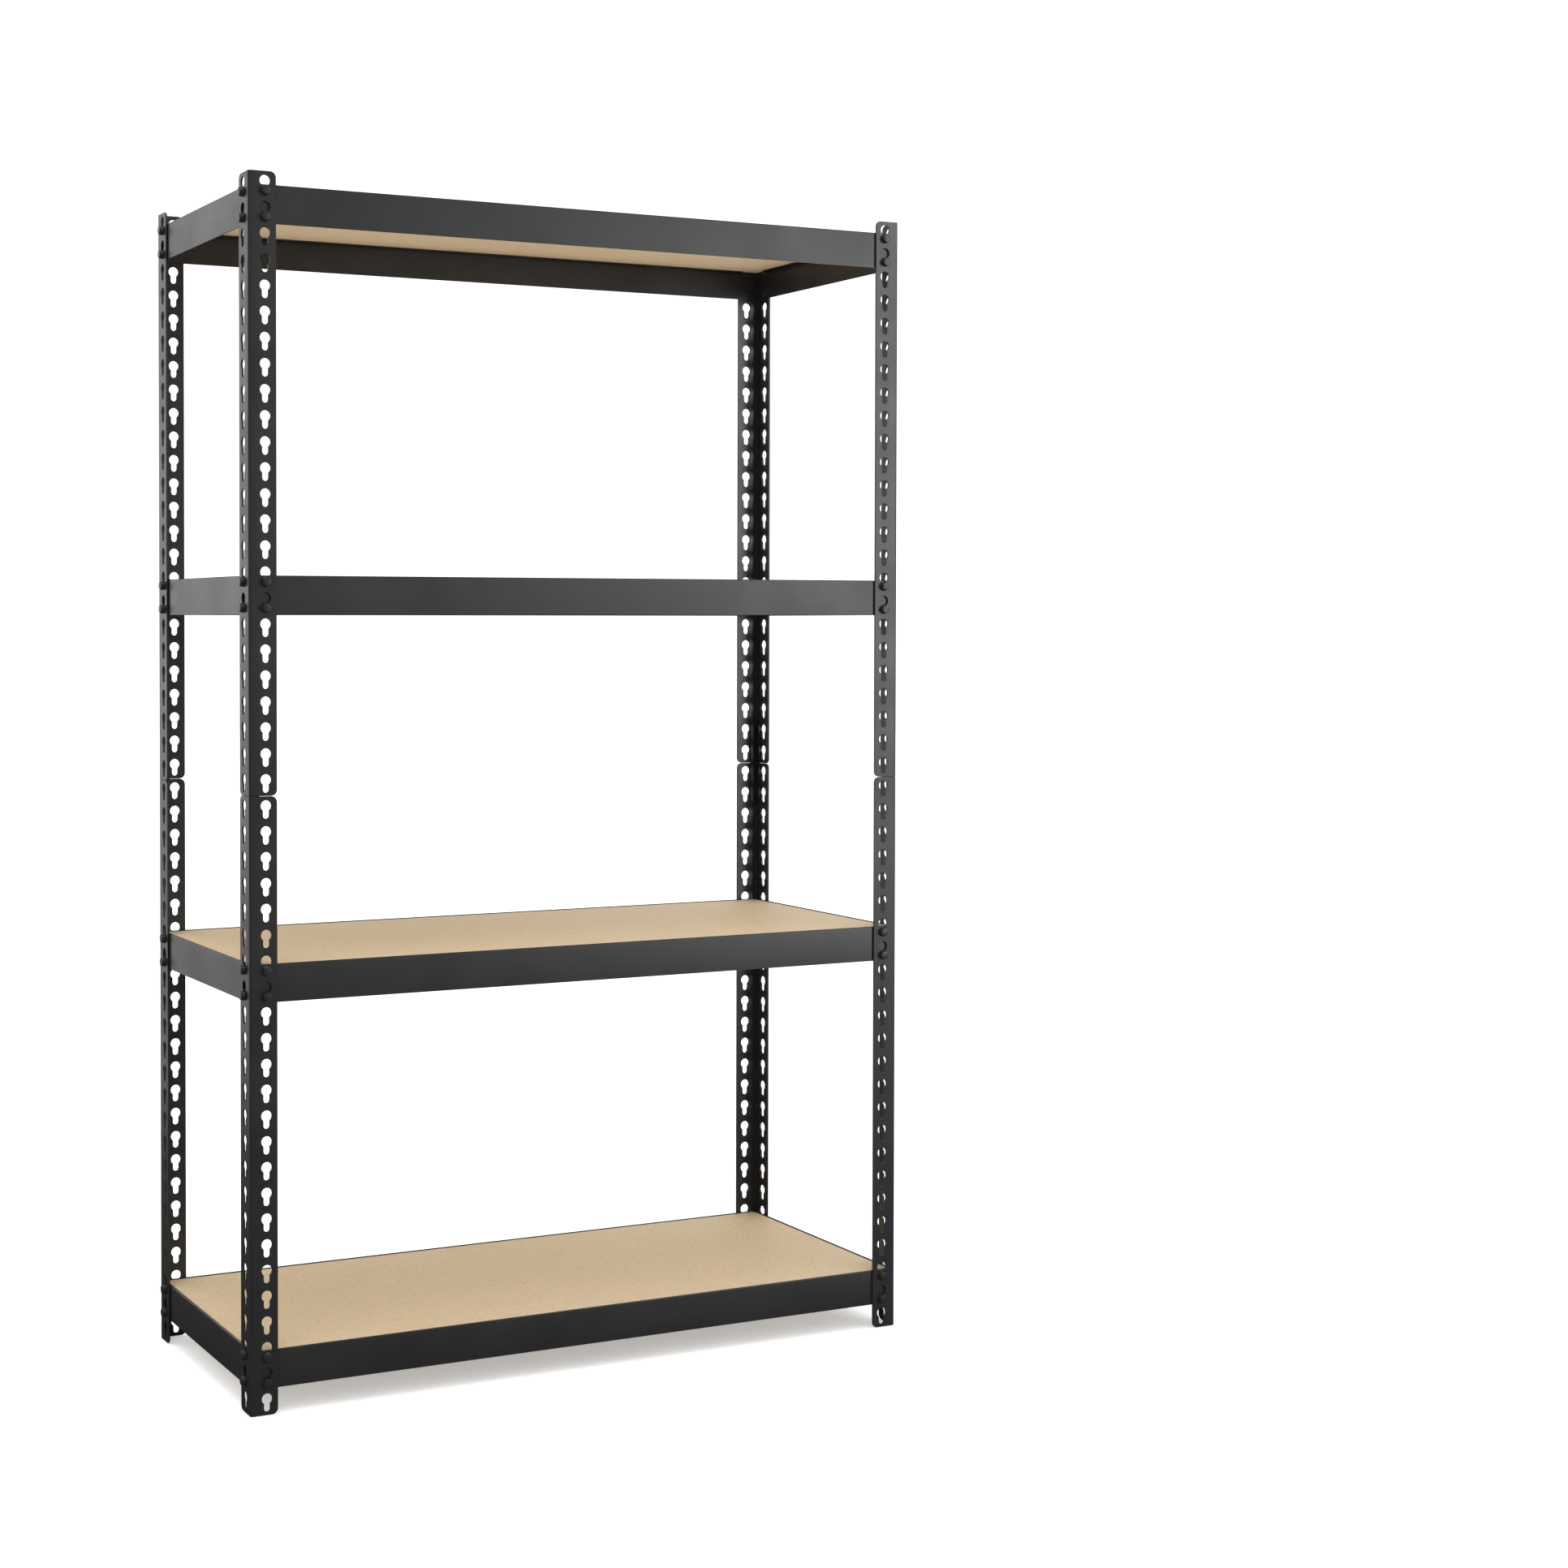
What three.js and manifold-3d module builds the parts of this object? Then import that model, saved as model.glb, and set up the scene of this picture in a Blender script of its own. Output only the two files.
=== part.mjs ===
// Boltless steel shelving: four angle posts in two halves each, sixteen riveted beams and four
// particleboard decks. The rivets at the ends of the beams drop into keyholes in the posts.
//
// Millimetres, +Z up. The origin is on the floor, under the middle of the shelving. +X runs along
// the long beams to the right, and the front faces -Y.

import * as THREE from 'three';
import { mergeVertices } from 'three/addons/utils/BufferGeometryUtils.js';
import Module from 'manifold-3d';

// ---------------------------------------------------------------- Driving dimensions

// Overall size. The width and the depth are measured over the rivet heads.
const OVERALL_WIDTH = 762;
const OVERALL_DEPTH = 304.8;
const OVERALL_HEIGHT = 1219.2;

// Shelves. Their levels are counted in rows of keyholes, from the bottom of the posts.
const SHELF_NAMES = ['bottom', 'lower', 'upper', 'top'];
const BOTTOM_SHELF_ROW = 1;

// Posts: an equal angle folded from sheet, with a keyhole punched at every pitch in both flanges
const POST_FLANGE_WIDTH = 28.575;
const POST_SHEET = 1.9;
const POST_BEND_RADIUS = 2.4; // outside of the fold
const POST_CORNER_RADIUS = 6; // free corners of the flanges

// Keyholes: a round head that a rivet enters, over a slot that holds its shank
const KEYHOLE_PITCH = 25.4;
const KEYHOLE_LINE = 17.1; // from the outside of the post's fold
const KEYHOLE_HEAD_DIAMETER = 11.1;
const KEYHOLE_SLOT_WIDTH = 6.35;
const KEYHOLE_DROP = 9.525; // from the middle of the head down to the seated rivet
const KEYHOLE_END_SEAT = 6.35; // from the lower end of a post half up to its lowest seat
const KEYHOLE_END_MARGIN = 3; // least steel over the highest keyhole

// Couplers: a short angle inside each fold, across the joint between two post halves
const COUPLER_LENGTH = 101.6;
const COUPLER_SHEET = 1.5;
const COUPLER_KEYHOLE_MARGIN = 0.6; // steel kept clear beside the keyholes
const COUPLER_END_CUT = 4; // 45 degree cut at the ends of its legs

// Beams: a web with its top edge folded over, down to a ledge that carries the deck
const BEAM_HEIGHT = 38.1;
const BEAM_SHEET = 1.2;
const BEAM_END_INSET = 6.35; // from the outside of the post's fold to the end of the web
const LEDGE_REACH = 9.8; // from the outside of the web to the tip of the ledge
const LEDGE_END_CLEARANCE = 1.5; // from the post's flange to the tip of the mitred ledge

// Rivets, set in the ends of the beams
const RIVET_HEAD_HEIGHT = 4;
const RIVET_HEAD_CROWN = 0.9; // flat crown of the head, as a share of its radius
const RIVET_HEAD_CLEARANCE = 0.8; // to the head of the keyhole, all round
const RIVET_SLOT_CLEARANCE = 0.3; // to the sides of the slot

// Decks
const DECK_THICKNESS = 4.8;
const DECK_RECESS = 0.75; // from the top of the beams down to the deck
const DECK_EDGE_CLEARANCE = 0.8; // to the folded edge of the beams, all round

const FIT_GAP = 0.3; // between pieces that rest on each other
const CUT_MARGIN = 1; // that a cutting solid reaches past what it cuts

// Facets
const BEND_STEPS = 3;
const FOLD_STEPS = 4;
const CORNER_STEPS = 3;
const RIVET_SIDES = 6;

// ---------------------------------------------------------------- Sizes that follow

const RIVET_PROUD = FIT_GAP + RIVET_HEAD_HEIGHT;
const POST_FACE_X = OVERALL_WIDTH / 2 - RIVET_PROUD; // outside of the left and right posts
const POST_FACE_Y = OVERALL_DEPTH / 2 - RIVET_PROUD; // outside of the front and back posts
const POST_HALF_HEIGHT = (OVERALL_HEIGHT - FIT_GAP) / 2;

const KEYHOLE_ABOVE_SEAT = KEYHOLE_DROP + KEYHOLE_HEAD_DIAMETER / 2;
const KEYHOLE_ROOM = POST_HALF_HEIGHT - KEYHOLE_END_SEAT - KEYHOLE_ABOVE_SEAT - KEYHOLE_END_MARGIN;
const KEYHOLES_PER_HALF = Math.floor(KEYHOLE_ROOM / KEYHOLE_PITCH) + 1;

const WEB_DEPTH = POST_SHEET + FIT_GAP; // from the outside of the posts to the outside of the web
const FOLD_DEPTH = WEB_DEPTH + 2 * BEAM_SHEET; // ... to the inside of the folded edge
const LEDGE_TOP = BEAM_HEIGHT - DECK_RECESS - DECK_THICKNESS - FIT_GAP;

const RIVET_HEAD_RADIUS = KEYHOLE_HEAD_DIAMETER / 2 - RIVET_HEAD_CLEARANCE;
const RIVET_SHANK_RADIUS = KEYHOLE_SLOT_WIDTH / 2 - RIVET_SLOT_CLEARANCE;
const RIVET_EDGE = (BEAM_HEIGHT - KEYHOLE_PITCH) / 2; // lower rivet's height in the beam

// ---------------------------------------------------------------- Materials

const postPaint = new THREE.MeshStandardMaterial({ color: 0x3a3a3c, roughness: 0.42, metalness: 0.25 });
const beamPaint = new THREE.MeshStandardMaterial({ color: 0x38383a, roughness: 0.42, metalness: 0.25 });
const couplerPaint = new THREE.MeshStandardMaterial({ color: 0x2a2a2b, roughness: 0.5, metalness: 0.25 });
const particleboard = new THREE.MeshStandardMaterial({ color: 0xcdb491, roughness: 0.8, metalness: 0 });

// ---------------------------------------------------------------- Solids

const wasm = await Module();
wasm.setup();

// A closed geometry as a solid that can be cut and joined
function toSolid(geometry) {
  const bare = geometry.clone();
  bare.deleteAttribute('normal');
  bare.deleteAttribute('uv');
  const merged = mergeVertices(bare);
  const corners = merged.index.array;
  const kept = [];
  for (let i = 0; i < corners.length; i += 3) {
    const [a, b, c] = corners.slice(i, i + 3);
    if (a !== b && b !== c && c !== a) kept.push(a, b, c);
  }
  return new wasm.Manifold(new wasm.Mesh({
    numProp: 3,
    vertProperties: new Float32Array(merged.attributes.position.array),
    triVerts: new Uint32Array(kept),
  }));
}

function toGeometry(solid) {
  const mesh = solid.getMesh();
  const geometry = new THREE.BufferGeometry();
  geometry.setAttribute('position', new THREE.BufferAttribute(mesh.vertProperties, 3));
  geometry.setIndex(new THREE.BufferAttribute(mesh.triVerts, 1));
  const flat = geometry.toNonIndexed();
  flat.computeVertexNormals();
  return flat;
}

// Directions in which a flat outline is extruded: its x, its y, and the way it gains depth
const X = new THREE.Vector3(1, 0, 0);
const Y = new THREE.Vector3(0, 1, 0);
const Z = new THREE.Vector3(0, 0, 1);
const ALONG_X = new THREE.Matrix4().makeBasis(Y, Z, X);
const ALONG_MINUS_Y = new THREE.Matrix4().makeBasis(X, Z, Y.clone().negate());
const ALONG_Z = new THREE.Matrix4();

function extrude(shape, depth, direction) {
  const options = { depth, bevelEnabled: false, curveSegments: CORNER_STEPS };
  return new THREE.ExtrudeGeometry(shape, options).applyMatrix4(direction);
}

// ---------------------------------------------------------------- Posts

// A keyhole with its seat at the given height, as an outline of eight corners
function keyholePath(seatHeight) {
  const halfSlot = KEYHOLE_SLOT_WIDTH / 2;
  const headRadius = KEYHOLE_HEAD_DIAMETER / 2;
  const headHeight = seatHeight + KEYHOLE_DROP;
  const neck = Math.sqrt(headRadius ** 2 - halfSlot ** 2);
  const rightSide = [
    [halfSlot, seatHeight - halfSlot],
    [halfSlot, headHeight - neck],
    [headRadius, headHeight],
    [headRadius / 2, headHeight + headRadius * Math.sin(Math.PI / 3)],
  ];
  const leftSide = rightSide.map(([x, z]) => [-x, z]).reverse();
  const corners = [...rightSide, ...leftSide];
  return new THREE.Path(corners.map(([x, z]) => new THREE.Vector2(KEYHOLE_LINE + x, z)));
}

// The flat blank of one flange: square along the fold, rounded at its free corners, and punched
function flangeBlank() {
  const width = POST_FLANGE_WIDTH;
  const height = POST_HALF_HEIGHT;
  const radius = Math.min(POST_CORNER_RADIUS, width / 2);
  const blank = new THREE.Shape();
  blank.moveTo(0, 0);
  blank.lineTo(width - radius, 0);
  blank.absarc(width - radius, radius, radius, -Math.PI / 2, 0);
  blank.absarc(width - radius, height - radius, radius, 0, Math.PI / 2);
  blank.lineTo(0, height);
  for (let row = 0; row < KEYHOLES_PER_HALF; row += 1) {
    blank.holes.push(keyholePath(KEYHOLE_END_SEAT + row * KEYHOLE_PITCH));
  }
  return blank;
}

// An angle section in plan, with the outside of its fold at the origin
function angleSection(inset, leg, sheet, outerRadius) {
  const innerRadius = Math.max(outerRadius - sheet, 0);
  const inner = inset + sheet;
  const section = new THREE.Shape();
  section.moveTo(leg, inset);
  section.lineTo(leg, inner);
  arcSteps(section, inner + innerRadius, inner + innerRadius, innerRadius, true);
  section.lineTo(inner, leg);
  section.lineTo(inset, leg);
  arcSteps(section, inset + outerRadius, inset + outerRadius, outerRadius, false);
  return section;
}

// A quarter turn round the fold, clockwise from the x leg or back to it
function arcSteps(section, centreX, centreY, radius, fromXLeg) {
  for (let step = 0; step <= BEND_STEPS; step += 1) {
    const share = step / BEND_STEPS;
    const angle = Math.PI * (fromXLeg ? 1.5 - share / 2 : 1 + share / 2);
    section.lineTo(centreX + radius * Math.cos(angle), centreY + radius * Math.sin(angle));
    if (radius === 0) return;
  }
}

// An outline as two solids that run through the x leg and the y leg of an angle, to trim both alike
function throughBothLegs(outline, leg) {
  const depth = leg + 2 * CUT_MARGIN;
  const xLeg = extrude(outline, depth, ALONG_MINUS_Y).translate(0, leg + CUT_MARGIN, 0);
  const yLeg = extrude(outline, depth, ALONG_X).translate(-CUT_MARGIN, 0, 0);
  return [toSolid(xLeg), toSolid(yLeg)];
}

// Half a post, standing on z = 0 with its fold at the origin and its flanges along +X and +Y
function postHalfGeometry() {
  const section = angleSection(0, POST_FLANGE_WIDTH, POST_SHEET, POST_BEND_RADIUS);
  const angle = toSolid(extrude(section, POST_HALF_HEIGHT, ALONG_Z));
  const [xFlange, yFlange] = throughBothLegs(flangeBlank(), POST_FLANGE_WIDTH);
  return toGeometry(angle.intersect(xFlange).intersect(yFlange));
}

// A coupler, centred on the joint and tucked into the fold of the posts
function couplerGeometry() {
  const inset = POST_SHEET + FIT_GAP;
  const leg = KEYHOLE_LINE - KEYHOLE_HEAD_DIAMETER / 2 - COUPLER_KEYHOLE_MARGIN;
  const foldRadius = Math.max(POST_BEND_RADIUS - POST_SHEET, 0);
  const section = angleSection(inset, leg, COUPLER_SHEET, foldRadius);
  const angle = toSolid(extrude(section, COUPLER_LENGTH, ALONG_Z).translate(0, 0, -COUPLER_LENGTH / 2));

  const side = leg + CUT_MARGIN;
  const end = COUPLER_LENGTH / 2 + CUT_MARGIN;
  const cut = COUPLER_END_CUT + 2 * CUT_MARGIN;
  const outline = new THREE.Shape([
    new THREE.Vector2(0, -end),
    new THREE.Vector2(side - cut, -end),
    new THREE.Vector2(side, -end + cut),
    new THREE.Vector2(side, end - cut),
    new THREE.Vector2(side - cut, end),
    new THREE.Vector2(0, end),
  ]);
  const [xLeg, yLeg] = throughBothLegs(outline, leg);
  return toGeometry(angle.intersect(xLeg).intersect(yLeg));
}

// ---------------------------------------------------------------- Beams

// Section of a beam: x runs inwards from the outside of the web, y runs up from its lower edge
function beamSection() {
  const sheet = BEAM_SHEET;
  const section = new THREE.Shape();
  section.moveTo(0, 0);
  section.lineTo(sheet, 0);
  section.lineTo(sheet, LEDGE_TOP - sheet);
  section.lineTo(LEDGE_REACH, LEDGE_TOP - sheet);
  section.lineTo(LEDGE_REACH, LEDGE_TOP);
  section.lineTo(2 * sheet, LEDGE_TOP);
  section.lineTo(2 * sheet, BEAM_HEIGHT - sheet);
  for (let step = 1; step <= FOLD_STEPS; step += 1) {
    const angle = (Math.PI * step) / FOLD_STEPS;
    section.lineTo(sheet + sheet * Math.cos(angle), BEAM_HEIGHT - sheet + sheet * Math.sin(angle));
  }
  return section;
}

// Removes the folded edge and the ledge near one end, with a 45 degree mitre at the ledge's tip
function ledgeEndCutter(webEnd, postFold) {
  const tip = postFold + POST_FLANGE_WIDTH + LEDGE_END_CLEARANCE;
  const beyond = webEnd - CUT_MARGIN;
  const reach = LEDGE_REACH + CUT_MARGIN;
  const outline = new THREE.Shape([
    new THREE.Vector2(beyond, BEAM_SHEET),
    new THREE.Vector2(tip - LEDGE_REACH + BEAM_SHEET, BEAM_SHEET),
    new THREE.Vector2(tip + CUT_MARGIN, reach),
    new THREE.Vector2(beyond, reach),
  ]);
  const height = BEAM_HEIGHT + 2 * CUT_MARGIN;
  return toSolid(extrude(outline, height, ALONG_Z).translate(0, 0, -CUT_MARGIN));
}

// A rivet along Y, with its head outside the post and its shank rooted in the web
function rivetGeometry() {
  const seat = -(FIT_GAP + POST_SHEET + FIT_GAP);
  const top = seat - RIVET_HEAD_HEIGHT;
  const profile = [
    [0, top],
    [RIVET_HEAD_RADIUS * RIVET_HEAD_CROWN, top],
    [RIVET_HEAD_RADIUS, seat],
    [RIVET_SHANK_RADIUS, seat],
    [RIVET_SHANK_RADIUS, BEAM_SHEET / 2],
    [0, BEAM_SHEET / 2],
  ];
  return new THREE.LatheGeometry(profile.map(([r, y]) => new THREE.Vector2(r, y)), RIVET_SIDES);
}

// A beam between two posts whose folds are span apart. It stands on z = 0, centred along X, with
// the outside of its web at y = 0 and its ledge towards +Y.
function beamGeometry(span) {
  const webLength = span - 2 * BEAM_END_INSET;
  const bar = extrude(beamSection(), webLength, ALONG_X).translate(-webLength / 2, 0, 0);
  const cutter = ledgeEndCutter(-webLength / 2, -span / 2);
  let beam = toSolid(bar).subtract(cutter).subtract(cutter.mirror([1, 0, 0]));

  const rivetX = span / 2 - KEYHOLE_LINE;
  for (const x of [-rivetX, rivetX]) {
    for (const z of [RIVET_EDGE, RIVET_EDGE + KEYHOLE_PITCH]) {
      beam = beam.add(toSolid(rivetGeometry().translate(x, 0, z)));
    }
  }
  return toGeometry(beam);
}

// ---------------------------------------------------------------- Assembly

// Height of a keyhole's seat. Rows are counted from the floor, through both halves of a post.
function seatHeight(row) {
  const half = Math.floor(row / KEYHOLES_PER_HALF);
  const rowInHalf = row - half * KEYHOLES_PER_HALF;
  return half * (POST_HALF_HEIGHT + FIT_GAP) + KEYHOLE_END_SEAT + rowInHalf * KEYHOLE_PITCH;
}

// Row of a shelf's lower rivets. Both rivets of a beam sit in the same half of the post.
function shelfRow(level) {
  const topRow = 2 * KEYHOLES_PER_HALF - 2;
  const share = level / (SHELF_NAMES.length - 1);
  const row = Math.round(BOTTOM_SHELF_ROW + share * (topRow - BOTTOM_SHELF_ROW));
  return row === KEYHOLES_PER_HALF - 1 ? row - 1 : row;
}

const shelving = new THREE.Group();

function place(parent, name, geometry, material) {
  const mesh = new THREE.Mesh(geometry, material);
  mesh.name = name;
  parent.add(mesh);
  return mesh;
}

// Four posts, each turned so that its flanges point inwards
const POSTS = [
  { name: 'front_left', x: -POST_FACE_X, y: -POST_FACE_Y, turn: 0 },
  { name: 'front_right', x: POST_FACE_X, y: -POST_FACE_Y, turn: Math.PI / 2 },
  { name: 'back_right', x: POST_FACE_X, y: POST_FACE_Y, turn: Math.PI },
  { name: 'back_left', x: -POST_FACE_X, y: POST_FACE_Y, turn: -Math.PI / 2 },
];

const postHalf = postHalfGeometry();
const coupler = couplerGeometry();

for (const { name, x, y, turn } of POSTS) {
  const post = new THREE.Group();
  post.position.set(x, y, 0);
  post.rotation.z = turn;
  place(post, `${name}_post_lower`, postHalf, postPaint);
  place(post, `${name}_post_upper`, postHalf, postPaint).position.z = POST_HALF_HEIGHT + FIT_GAP;
  place(post, `${name}_post_coupler`, coupler, couplerPaint).position.z = OVERALL_HEIGHT / 2;
  shelving.add(post);
}

// Four shelves, each of two long beams, two end beams and a deck
const longBeam = beamGeometry(2 * POST_FACE_X);
const endBeam = beamGeometry(2 * POST_FACE_Y);
const deckWidth = 2 * (POST_FACE_X - FOLD_DEPTH - DECK_EDGE_CLEARANCE);
const deckDepth = 2 * (POST_FACE_Y - FOLD_DEPTH - DECK_EDGE_CLEARANCE);
const deck = new THREE.BoxGeometry(deckWidth, deckDepth, DECK_THICKNESS);

const webX = POST_FACE_X - WEB_DEPTH;
const webY = POST_FACE_Y - WEB_DEPTH;
const BEAMS = [
  { name: 'front_beam', geometry: longBeam, x: 0, y: -webY, turn: 0 },
  { name: 'right_end_beam', geometry: endBeam, x: webX, y: 0, turn: Math.PI / 2 },
  { name: 'back_beam', geometry: longBeam, x: 0, y: webY, turn: Math.PI },
  { name: 'left_end_beam', geometry: endBeam, x: -webX, y: 0, turn: -Math.PI / 2 },
];

SHELF_NAMES.forEach((level, index) => {
  const shelf = new THREE.Group();
  shelf.position.z = seatHeight(shelfRow(index)) - RIVET_EDGE;
  for (const { name, geometry, x, y, turn } of BEAMS) {
    const beam = place(shelf, `${level}_${name}`, geometry, beamPaint);
    beam.position.set(x, y, 0);
    beam.rotation.z = turn;
  }
  const board = place(shelf, `${level}_deck`, deck, particleboard);
  board.position.z = LEDGE_TOP + FIT_GAP + DECK_THICKNESS / 2;
  shelving.add(shelf);
});

export default shelving;
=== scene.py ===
# %% [markdown]
# # Boltless steel shelving
#
# Four keyholed angle posts, in two halves each, hold four shelves. Every shelf is a ring of four
# riveted beams with a particleboard deck lying in it. Nothing is screwed: the rivets of the beams
# drop into the keyholes of the posts.
#
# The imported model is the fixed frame. It gives the size and the place of every piece, and this
# script makes the fine surfaces around it: eased edges, round keyholes, folded sheet and finishes.
# Everything is in metres, with +Z up, the front towards -Y, and the origin on the floor.

# %% Load the frame
import math

import bmesh
import bpy
from mathutils import Matrix, Vector


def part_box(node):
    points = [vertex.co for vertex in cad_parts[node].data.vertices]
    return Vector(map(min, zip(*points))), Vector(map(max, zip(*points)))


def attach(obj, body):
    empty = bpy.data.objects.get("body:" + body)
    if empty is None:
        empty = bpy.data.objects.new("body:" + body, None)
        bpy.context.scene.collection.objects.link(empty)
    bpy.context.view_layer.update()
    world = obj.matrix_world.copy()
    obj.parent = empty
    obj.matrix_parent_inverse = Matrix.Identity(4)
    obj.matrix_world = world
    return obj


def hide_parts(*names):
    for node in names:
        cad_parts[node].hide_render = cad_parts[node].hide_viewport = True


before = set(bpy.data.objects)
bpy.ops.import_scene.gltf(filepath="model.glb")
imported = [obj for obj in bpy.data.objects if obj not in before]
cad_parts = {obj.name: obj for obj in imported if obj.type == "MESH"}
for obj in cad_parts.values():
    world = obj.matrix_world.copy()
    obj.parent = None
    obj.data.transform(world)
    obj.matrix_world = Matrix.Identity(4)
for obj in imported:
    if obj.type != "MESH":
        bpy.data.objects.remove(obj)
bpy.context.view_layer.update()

MM = 0.001
LEVELS = ["bottom", "lower", "upper", "top"]
CORNERS = ["front_left", "front_right", "back_right", "back_left"]

# %% [markdown]
# ## Camera
#
# The shelving is seen from the front left, from a little under two thirds of its height, through a
# lens of about 56 mm. The camera looks almost level, so the posts stay almost parallel. The lens
# shift puts the unit left of the middle without turning the camera.

# %% Place the camera
CAMERA_PLACE = Vector((-1.1631, -2.4039, 0.7797))
CAMERA_YAW = 0.4326
CAMERA_PITCH = -0.0210
SENSOR_WIDTH = 36
LENS_LENGTH = 56.027
LENS_SHIFT_X = 0.1894
LENS_SHIFT_Y = -0.0704

camera_data = bpy.data.cameras.new("camera")
camera_data.sensor_width = SENSOR_WIDTH
camera_data.lens = LENS_LENGTH
camera_data.shift_x = LENS_SHIFT_X
camera_data.shift_y = LENS_SHIFT_Y
camera = bpy.data.objects.new("camera", camera_data)
camera.location = CAMERA_PLACE
camera.rotation_euler = (math.pi / 2 + CAMERA_PITCH, 0, -CAMERA_YAW)
bpy.context.collection.objects.link(camera)
bpy.context.scene.camera = camera
print("camera is", round(CAMERA_PLACE.length, 2), "m from the origin")

# %% [markdown]
# ## Small helpers for node trees
#
# Shader trees and geometry trees are built alike: a node is added, its inputs take numbers or the
# outputs of other nodes, and a group gets named sockets. These helpers keep the recipes short.


# %% Node helpers
def add_node(tree, kind, inputs=None, **settings):
    """A node whose inputs, by name or number, are values or linked from other nodes' outputs."""
    node = tree.nodes.new(kind)
    for name, value in settings.items():
        setattr(node, name, value)
    for key, value in (inputs or {}).items():
        if isinstance(value, bpy.types.NodeSocket):
            tree.links.new(value, node.inputs[key])
        else:
            node.inputs[key].default_value = value
    return node


def calculate(tree, operation, *values):
    """The output of one Math node, in either kind of tree."""
    node = add_node(tree, "ShaderNodeMath", dict(enumerate(values)), operation=operation)
    return node.outputs[0]


def new_group(name, kind, inputs, outputs):
    """A node group with named sockets, as {name: (socket type, default)} and {name: type}."""
    tree = bpy.data.node_groups.new(name, kind)
    for label, (socket_type, default) in inputs.items():
        socket = tree.interface.new_socket(name=label, in_out="INPUT", socket_type=socket_type)
        if default is not None:
            socket.default_value = default
    for label, socket_type in outputs.items():
        tree.interface.new_socket(name=label, in_out="OUTPUT", socket_type=socket_type)
    start = tree.nodes.new("NodeGroupInput")
    end = tree.nodes.new("NodeGroupOutput")
    return tree, start.outputs, end.inputs


FLOAT = "NodeSocketFloat"
print("node helpers ready")

# %% [markdown]
# ## Finish: the texture of powder coat
#
# Powder coat melts into a skin with a faint orange peel, about a millimetre across, and a finer
# grit, and its gloss drifts a little from place to place. Three noises on the piece's own
# coordinates give a height for the bump and a slow mask for tone and gloss. Every painted piece
# uses the same group.


# %% Shader group: powder coat
GRIT_FINENESS = 3.1
GRIT_SHARE = 0.35


def make_powder_group():
    tree, given, result = new_group(
        "Powder coat", "ShaderNodeTree",
        {"Peel Scale": (FLOAT, 900.0), "Cloud Scale": (FLOAT, 14.0)},
        {"Height": FLOAT, "Cloud": FLOAT})
    place = tree.nodes.new("ShaderNodeTexCoord").outputs["Object"]
    peel = add_node(tree, "ShaderNodeTexNoise",
                    {"Vector": place, "Scale": given["Peel Scale"], "Detail": 2.0})
    finer = calculate(tree, "MULTIPLY", given["Peel Scale"], GRIT_FINENESS)
    grit = add_node(tree, "ShaderNodeTexNoise", {"Vector": place, "Scale": finer, "Detail": 1.0})
    cloud = add_node(tree, "ShaderNodeTexNoise",
                     {"Vector": place, "Scale": given["Cloud Scale"], "Detail": 4.0})
    small = calculate(tree, "MULTIPLY", grit.outputs["Fac"], GRIT_SHARE)
    tree.links.new(calculate(tree, "ADD", peel.outputs["Fac"], small), result["Height"])
    tree.links.new(cloud.outputs["Fac"], result["Cloud"])
    return tree


POWDER = make_powder_group()
print(POWDER.name, "has", len(POWDER.nodes), "nodes")

# %% [markdown]
# ## Finish: wear along the edges
#
# Punched and folded edges lose a little paint where rivets and hands rub them. A Bevel node bends
# the normal near a sharp edge, so where it differs from the true normal there is an edge. A noise
# breaks the line up. The same mask works on paint and on board.


# %% Shader group: edge wear
def make_edge_group():
    tree, given, result = new_group(
        "Edge wear", "ShaderNodeTree",
        {"Radius": (FLOAT, 0.4 * MM), "Patch Scale": (FLOAT, 60.0)},
        {"Mask": FLOAT})
    place = tree.nodes.new("ShaderNodeTexCoord").outputs["Object"]
    eased = add_node(tree, "ShaderNodeBevel", {"Radius": given["Radius"]}, samples=4)
    true_normal = tree.nodes.new("ShaderNodeNewGeometry").outputs["Normal"]
    agree = add_node(tree, "ShaderNodeVectorMath",
                     {0: eased.outputs["Normal"], 1: true_normal}, operation="DOT_PRODUCT")
    edge = add_node(tree, "ShaderNodeMapRange",
                    {"Value": agree.outputs["Value"], "From Min": 0.995, "From Max": 0.86})
    patches = add_node(tree, "ShaderNodeTexNoise",
                       {"Vector": place, "Scale": given["Patch Scale"], "Detail": 5.0})
    broken = add_node(tree, "ShaderNodeMapRange",
                      {"Value": patches.outputs["Fac"], "From Min": 0.42, "From Max": 0.72})
    mask = calculate(tree, "MULTIPLY", edge.outputs["Result"], broken.outputs["Result"])
    tree.links.new(mask, result["Mask"])
    return tree


EDGE_WEAR = make_edge_group()
print(EDGE_WEAR.name, "has", len(EDGE_WEAR.nodes), "nodes")

# %% [markdown]
# ## Finish: a trace of dust
#
# Dust settles where a surface looks up. The mask is the upward part of the normal, broken up by a
# noise, and it stays faint, because this is a new unit.


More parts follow.
